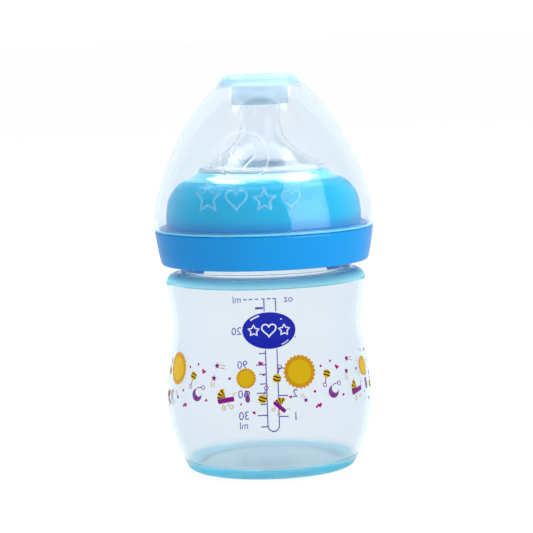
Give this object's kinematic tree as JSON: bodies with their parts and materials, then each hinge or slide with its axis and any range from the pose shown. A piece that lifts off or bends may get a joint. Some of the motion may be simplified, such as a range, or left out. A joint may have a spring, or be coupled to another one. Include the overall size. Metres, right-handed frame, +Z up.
{
  "type": "baby bottle",
  "caption": "Wide-neck clear baby bottle with a waist, a screw collar, a silicone teat and a pull-off dome cap.",
  "frame": {"origin": "centre of the base, on the surface that the bottle stands on", "axes": "+Z up along the bottle's axis, -Y towards the printed badge, +X to the badge's right"},
  "size_m": [0.073, 0.073, 0.1314],
  "materials": {
    "clear_plastic": "polished",
    "cap_plastic": "polished",
    "blue_plastic": "gloss",
    "silicone": "satin",
    "navy_ink": "gloss",
    "white_ink": "gloss",
    "violet_ink": "gloss",
    "yellow_ink": "gloss",
    "magenta_ink": "gloss",
    "lilac_ink": "gloss",
    "brown_ink": "gloss"
  },
  "bodies": {
    "bottle": {"bottle_body": "clear_plastic"},
    "teat": {"teat": "silicone"},
    "collar": {"screw_collar": "blue_plastic"},
    "cap": {"dome_cap": "cap_plastic"}
  },
  "joints": [
    {"name": "collar_lift", "type": "slide", "parent": "bottle", "child": "teat", "axis": [0, 0, 1], "range_m": [0, 0.00525]},
    {"name": "collar_turn", "type": "hinge", "parent": "teat", "child": "collar", "pos_m": [0, 0, 0.08], "axis": [0, 0, 1], "range_deg": [0, 450]},
    {"name": "cap_lift", "type": "slide", "parent": "collar", "child": "cap", "axis": [0, 0, 1], "range_m": [0, 0.06]}
  ],
  "couplings": [
    {"joint": "collar_lift", "follows": "collar_turn", "m_per_rad": 0.00066845}
  ]
}
